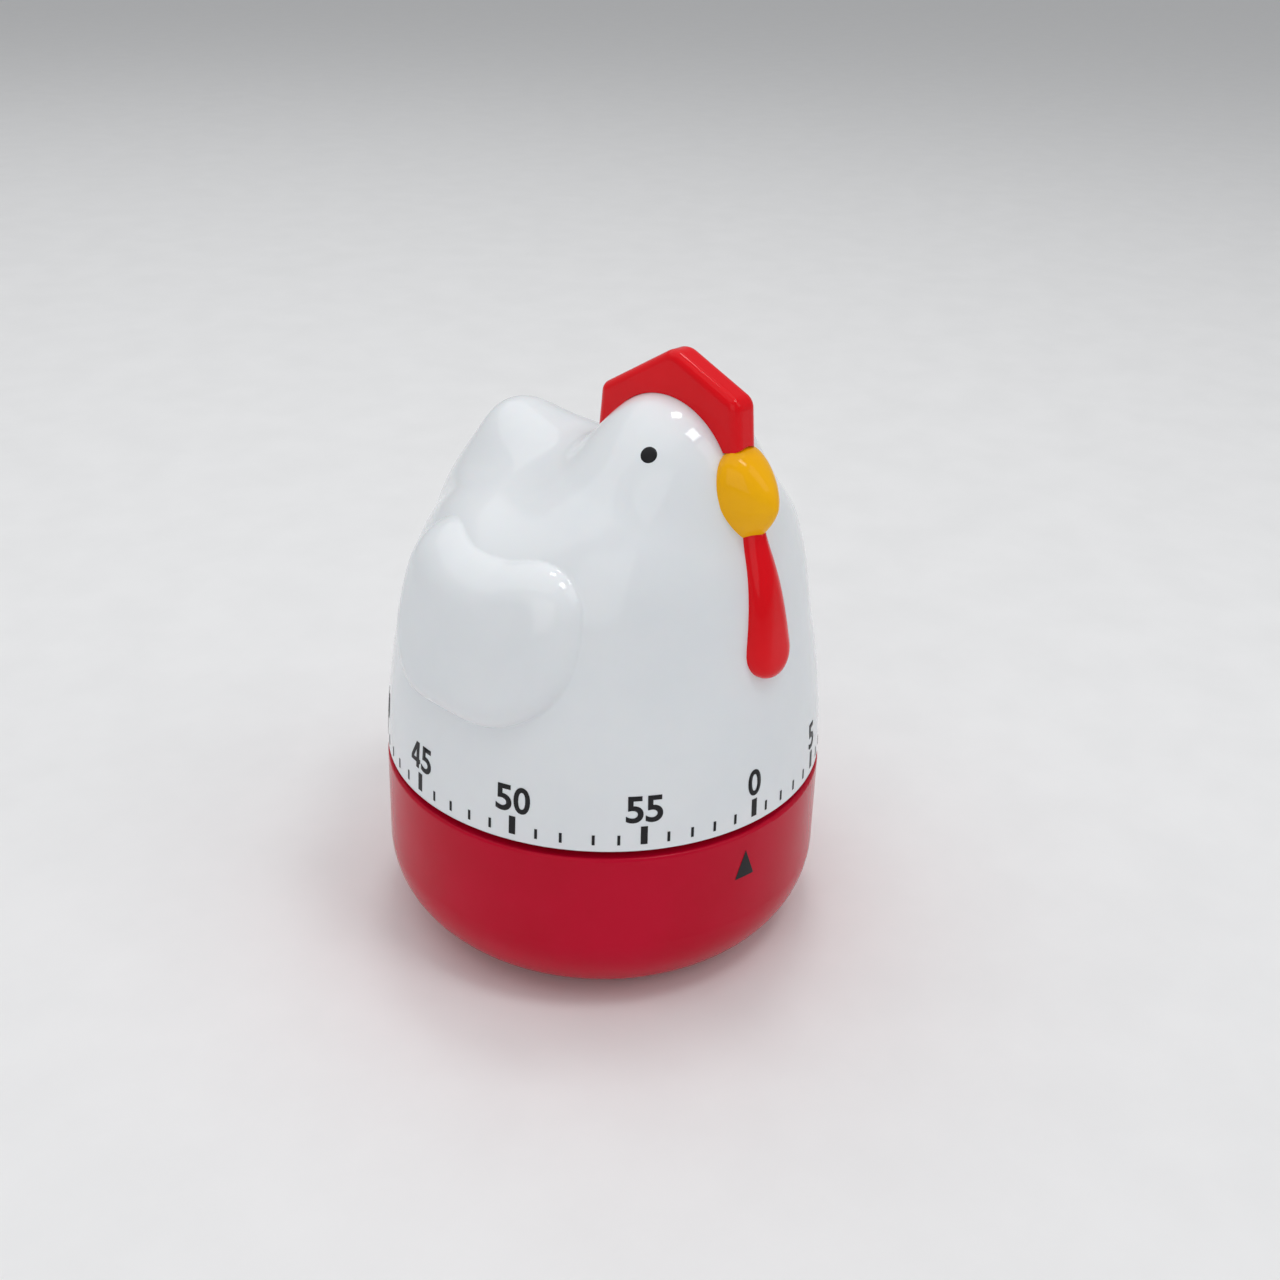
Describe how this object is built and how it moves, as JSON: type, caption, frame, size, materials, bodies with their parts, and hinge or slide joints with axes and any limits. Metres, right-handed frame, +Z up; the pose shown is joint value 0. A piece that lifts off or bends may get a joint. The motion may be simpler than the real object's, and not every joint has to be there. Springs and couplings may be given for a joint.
{
  "type": "kitchen timer",
  "caption": "Clockwork kitchen timer shaped as a hen: the white hen turns on a red base as the dial, over a spring-driven movement with a gong.",
  "frame": {"origin": "middle of the underside of the base, on the axis the hen turns about", "axes": "+Z up along the dial axis, -Y the way the hen looks at rest"},
  "size_m": [0.0692, 0.0692, 0.0942],
  "materials": {
    "red_base": "satin gloss",
    "white_shell": "gloss",
    "red_trim": "gloss",
    "yellow_beak": "gloss",
    "drive_plastic": "satin",
    "bell_steel": "nickel plated",
    "spring_steel": "blued",
    "wheel_brass": "stamped",
    "plate_steel": "zinc plated",
    "arbor_steel": "turned"
  },
  "bodies": {
    "base": {"base_shell": "red_base", "base_screws": "arbor_steel", "lower_plate": "plate_steel", "upper_plate": "plate_steel", "plate_pillars": "arbor_steel", "plate_screws": "arbor_steel", "mainspring": "spring_steel", "gong": "bell_steel", "gong_post": "arbor_steel", "gong_screw": "arbor_steel", "release_stud": "arbor_steel", "stop_pin": "arbor_steel"},
    "hen": {"hen_shell": "white_shell", "comb": "red_trim", "beak": "yellow_beak", "wattle": "red_trim", "drive_disc": "drive_plastic", "drive_screws": "arbor_steel", "main_arbor": "arbor_steel", "ratchet_wheel": "arbor_steel", "release_cam": "arbor_steel", "stop_arm": "arbor_steel"},
    "main_wheel": {"main_wheel": "wheel_brass", "click_stud": "arbor_steel"},
    "click": {"click": "arbor_steel"},
    "second_wheel": {"second_arbor": "arbor_steel", "second_wheel": "wheel_brass", "strike_wheel": "wheel_brass"},
    "third_wheel": {"third_arbor": "arbor_steel", "third_wheel": "wheel_brass"},
    "escape_wheel": {"escape_arbor": "arbor_steel", "escape_wheel": "wheel_brass"},
    "balance": {"balance_staff": "arbor_steel", "balance_wheel": "wheel_brass", "pallet_pins": "arbor_steel"},
    "hammer": {"hammer_arbor": "arbor_steel", "lifting_arm": "arbor_steel", "hammer": "arbor_steel"},
    "release_lever": {"release_lever": "arbor_steel"}
  },
  "joints": [
    {"name": "dial_turn", "type": "hinge", "parent": "base", "child": "hen", "pos_m": [0, 0, 0], "axis": [0, 0, 1], "range_deg": [-345, 0], "deforming": ["mainspring"]},
    {"name": "main_wheel_turn", "type": "hinge", "parent": "base", "child": "main_wheel", "pos_m": [0, 0, 0], "axis": [0, 0, 1], "range_deg": [-345, 0]},
    {"name": "click_swing", "type": "hinge", "parent": "main_wheel", "child": "click", "pos_m": [0.0059, 0.0056, 0], "axis": [0, 0, 1], "range_deg": [0, 10]},
    {"name": "second_wheel_turn", "type": "hinge", "parent": "base", "child": "second_wheel", "pos_m": [-0.01088, 0.00881, 0], "axis": [0, 0, 1], "range_deg": [0, 2070]},
    {"name": "third_wheel_turn", "type": "hinge", "parent": "base", "child": "third_wheel", "pos_m": [-0.01399, -0.00048, 0], "axis": [0, 0, 1], "range_deg": [-12420, 0]},
    {"name": "escape_wheel_turn", "type": "hinge", "parent": "base", "child": "escape_wheel", "pos_m": [-0.01025, -0.00954, 0], "axis": [0, 0, 1], "range_deg": [0, 74520]},
    {"name": "balance_swing", "type": "hinge", "parent": "base", "child": "balance", "pos_m": [-0.00395, -0.01343, 0], "axis": [0, 0, 1], "range_deg": [-12, 12]},
    {"name": "hammer_swing", "type": "hinge", "parent": "base", "child": "hammer", "pos_m": [-0.00249, 0.01408, 0], "axis": [0, 0, 1], "range_deg": [-8, 4]},
    {"name": "release_swing", "type": "hinge", "parent": "base", "child": "release_lever", "pos_m": [-0.00059, 0.01081, 0], "axis": [0, 0, -1], "range_deg": [0, 8]}
  ],
  "couplings": [
    {"joint": "main_wheel_turn", "follows": "dial_turn", "ratio": 1},
    {"joint": "second_wheel_turn", "follows": "dial_turn", "ratio": -6},
    {"joint": "third_wheel_turn", "follows": "dial_turn", "ratio": 36},
    {"joint": "escape_wheel_turn", "follows": "dial_turn", "ratio": -216}
  ]
}
